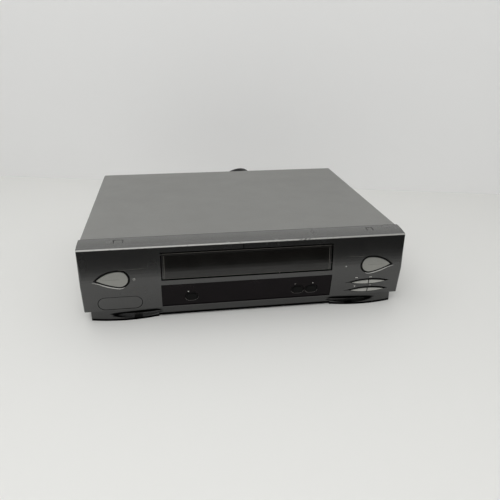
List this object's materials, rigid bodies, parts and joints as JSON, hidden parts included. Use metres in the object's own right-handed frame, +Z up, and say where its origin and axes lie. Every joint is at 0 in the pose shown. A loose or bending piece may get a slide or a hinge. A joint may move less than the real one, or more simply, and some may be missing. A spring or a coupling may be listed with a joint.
{
  "type": "video cassette recorder",
  "caption": "Front-loading video cassette recorder with hinged cassette flap, smoked display window, silver teardrop buttons, working tape deck and captive mains lead.",
  "frame": {"origin": "centre of the case's footprint, on the table", "axes": "+X to the right as seen from the front, +Y from the front towards the sockets, +Z up"},
  "size_m": [0.38, 0.4486, 0.096],
  "materials": {
    "cover_paint": "charcoal-grey satin paint on folded steel sheet",
    "fascia_plastic": "dark grey moulded plastic with a faint metallic sheen",
    "badge_plastic": "dark grey plate, left bare",
    "smoked_panel": "gloss smoked plastic",
    "window_plastic": "gloss near-black window plastic",
    "flap_plastic": "dark moulded plastic",
    "silver_button": "silver-painted plastic",
    "black_button": "black plastic",
    "black_plastic": "black moulded plastic",
    "rubber": "black rubber",
    "cord_rubber": "black flexible cord sheath",
    "zinc_steel": "zinc-plated pressed steel",
    "chassis_plastic": "dark grey pressed steel",
    "panel_paint": "dark grey rear panel",
    "bright_steel": "polished steel",
    "aluminium": "machined aluminium",
    "brass": "brass",
    "board_green": "green lacquered circuit board",
    "board_brown": "brown paper-base circuit board",
    "iron_core": "varnished transformer core",
    "capacitor_sleeve": "dark blue sleeve",
    "ivory_plastic": "ivory acetal plastic",
    "grey_plastic": "grey acetal plastic",
    "tube_glass": "display tube glass"
  },
  "bodies": {
    "case": {"top_cover": "cover_paint", "front_fascia": "fascia_plastic", "badge_plate": "badge_plastic", "chassis_tray": "chassis_plastic", "rear_panel": "panel_paint", "rear_feet": "rubber", "cover_screws": "zinc_steel", "board_spacers": "brass", "flap_spring": "bright_steel", "display_lens": "window_plastic", "display_tube": "tube_glass", "control_board": "board_green", "key_switches": "black_plastic", "scart_sockets": "black_plastic", "rf_unit": "zinc_steel", "cord_gland": "cord_rubber", "mains_cord": "cord_rubber", "cord_coil": "cord_rubber", "mains_plug": "black_plastic", "plug_pins": "brass", "main_board": "board_green", "power_board": "board_brown", "transformer": "iron_core", "heat_sink": "aluminium", "smoothing_capacitors": "capacitor_sleeve", "head_amplifier_shield": "zinc_steel", "deck_plate": "zinc_steel", "lower_drum": "aluminium", "capstan_stator": "board_green", "drive_belt": "rubber", "loading_motor": "zinc_steel", "tape_heads": "bright_steel", "carriage_brackets": "zinc_steel"},
    "flap": {"cassette_flap": "flap_plastic", "flap_lens": "smoked_panel"},
    "power": {"power_button": "silver_button"},
    "play": {"play_button": "silver_button"},
    "rewind": {"rewind_button": "silver_button"},
    "fast_forward": {"fast_forward_button": "silver_button"},
    "stop": {"stop_button": "silver_button"},
    "pause": {"pause_button": "silver_button"},
    "record": {"record_button": "black_button"},
    "channel_down": {"channel_down_button": "black_button"},
    "channel_up": {"channel_up_button": "black_button"},
    "slider": {"carriage_slider": "zinc_steel"},
    "tray": {"cassette_tray": "zinc_steel"},
    "drum": {"upper_drum": "aluminium"},
    "capstan": {"capstan_flywheel": "bright_steel"},
    "clutch": {"clutch_pulley": "grey_plastic"},
    "idler": {"idler_arm": "zinc_steel"},
    "idler_tyre": {"idler_wheel": "rubber"},
    "supply_reel": {"supply_reel_table": "grey_plastic"},
    "takeup_reel": {"takeup_reel_table": "grey_plastic"},
    "cam": {"cam_gear": "ivory_plastic"},
    "pinion": {"loading_pinion": "ivory_plastic"},
    "supply_post": {"supply_guide": "bright_steel"},
    "takeup_post": {"takeup_guide": "bright_steel"},
    "pinch": {"pinch_arm": "zinc_steel"},
    "pinch_tyre": {"pinch_roller": "rubber"},
    "tension": {"tension_arm": "zinc_steel"}
  },
  "joints": [
    {"name": "flap_hinge", "type": "hinge", "parent": "case", "child": "flap", "pos_m": [0, -0.152, 0.0821], "axis": [1, 0, 0], "range_deg": [0, 80], "stiffness_Nm_per_rad": 0.01},
    {"name": "power_press", "type": "slide", "parent": "case", "child": "power", "axis": [0, 1, 0], "range_m": [0, 0.0006], "stiffness_N_per_m": 400},
    {"name": "play_press", "type": "slide", "parent": "case", "child": "play", "axis": [0, 1, 0], "range_m": [0, 0.0006], "stiffness_N_per_m": 400},
    {"name": "rewind_press", "type": "slide", "parent": "case", "child": "rewind", "axis": [0, 1, 0], "range_m": [0, 0.0006], "stiffness_N_per_m": 400},
    {"name": "fast_forward_press", "type": "slide", "parent": "case", "child": "fast_forward", "axis": [0, 1, 0], "range_m": [0, 0.0006], "stiffness_N_per_m": 400},
    {"name": "stop_press", "type": "slide", "parent": "case", "child": "stop", "axis": [0, 1, 0], "range_m": [0, 0.0006], "stiffness_N_per_m": 400},
    {"name": "pause_press", "type": "slide", "parent": "case", "child": "pause", "axis": [0, 1, 0], "range_m": [0, 0.0006], "stiffness_N_per_m": 400},
    {"name": "record_press", "type": "slide", "parent": "case", "child": "record", "axis": [0, 1, 0], "range_m": [0, 0.0006], "stiffness_N_per_m": 400},
    {"name": "channel_down_press", "type": "slide", "parent": "case", "child": "channel_down", "axis": [0, 1, 0], "range_m": [0, 0.0006], "stiffness_N_per_m": 400},
    {"name": "channel_up_press", "type": "slide", "parent": "case", "child": "channel_up", "axis": [0, 1, 0], "range_m": [0, 0.0006], "stiffness_N_per_m": 400},
    {"name": "carriage_in", "type": "slide", "parent": "case", "child": "slider", "axis": [0, 1, 0], "range_m": [0, 0.058]},
    {"name": "carriage_down", "type": "slide", "parent": "slider", "child": "tray", "axis": [0, 0, -1], "range_m": [0, 0.0195]},
    {"name": "drum_spin", "type": "hinge", "parent": "case", "child": "drum", "pos_m": [0, 0.038, 0.031], "axis": [0, -0.0872, 0.9962], "continuous": true},
    {"name": "capstan_spin", "type": "hinge", "parent": "case", "child": "capstan", "pos_m": [0.062, 0.009, 0.03], "axis": [0, 0, 1], "continuous": true},
    {"name": "clutch_spin", "type": "hinge", "parent": "case", "child": "clutch", "pos_m": [0, -0.057, 0.03], "axis": [0, 0, 1], "continuous": true},
    {"name": "idler_swing", "type": "hinge", "parent": "case", "child": "idler", "pos_m": [0, -0.057, 0.038], "axis": [0, 0, 1], "range_deg": [-60, 60]},
    {"name": "idler_wheel_spin", "type": "hinge", "parent": "idler", "child": "idler_tyre", "pos_m": [0, -0.0407, 0.032], "axis": [0, 0, 1], "continuous": true},
    {"name": "supply_reel_spin", "type": "hinge", "parent": "case", "child": "supply_reel", "pos_m": [-0.046, -0.063, 0.03], "axis": [0, 0, 1], "continuous": true},
    {"name": "takeup_reel_spin", "type": "hinge", "parent": "case", "child": "takeup_reel", "pos_m": [0.046, -0.063, 0.03], "axis": [0, 0, 1], "continuous": true},
    {"name": "cam_gear_turn", "type": "hinge", "parent": "case", "child": "cam", "pos_m": [-0.076, 0.045, 0.03], "axis": [0, 0, 1], "range_deg": [0, 300]},
    {"name": "loading_pinion_turn", "type": "hinge", "parent": "case", "child": "pinion", "pos_m": [-0.076, 0.0731, 0.03], "axis": [0, 0, 1], "range_deg": [-750, 0]},
    {"name": "supply_guide_slide", "type": "slide", "parent": "case", "child": "supply_post", "axis": [-0.19, 0.9818, 0], "range_m": [0, 0.06315]},
    {"name": "takeup_guide_slide", "type": "slide", "parent": "case", "child": "takeup_post", "axis": [0.19, 0.9818, 0], "range_m": [0, 0.06315]},
    {"name": "pinch_arm_swing", "type": "hinge", "parent": "case", "child": "pinch", "pos_m": [0.086, 0.015, 0.04], "axis": [0, 0, -1], "range_deg": [0, 24.5]},
    {"name": "pinch_roller_spin", "type": "hinge", "parent": "pinch", "child": "pinch_tyre", "pos_m": [0.07423, -0.0058, 0.045], "axis": [0, 0, 1], "continuous": true},
    {"name": "tension_arm_swing", "type": "hinge", "parent": "case", "child": "tension", "pos_m": [-0.066, 0.003, 0.03], "axis": [0, 0, 1], "range_deg": [0, 25]}
  ],
  "couplings": [
    {"joint": "loading_pinion_turn", "follows": "cam_gear_turn", "ratio": -2.5},
    {"joint": "supply_guide_slide", "follows": "cam_gear_turn", "m_per_rad": 0.012061},
    {"joint": "takeup_guide_slide", "follows": "cam_gear_turn", "m_per_rad": 0.012061},
    {"joint": "pinch_arm_swing", "follows": "cam_gear_turn", "ratio": 0.08166},
    {"joint": "clutch_spin", "follows": "capstan_spin", "ratio": 0.75},
    {"joint": "idler_wheel_spin", "follows": "capstan_spin", "ratio": -0.45}
  ]
}
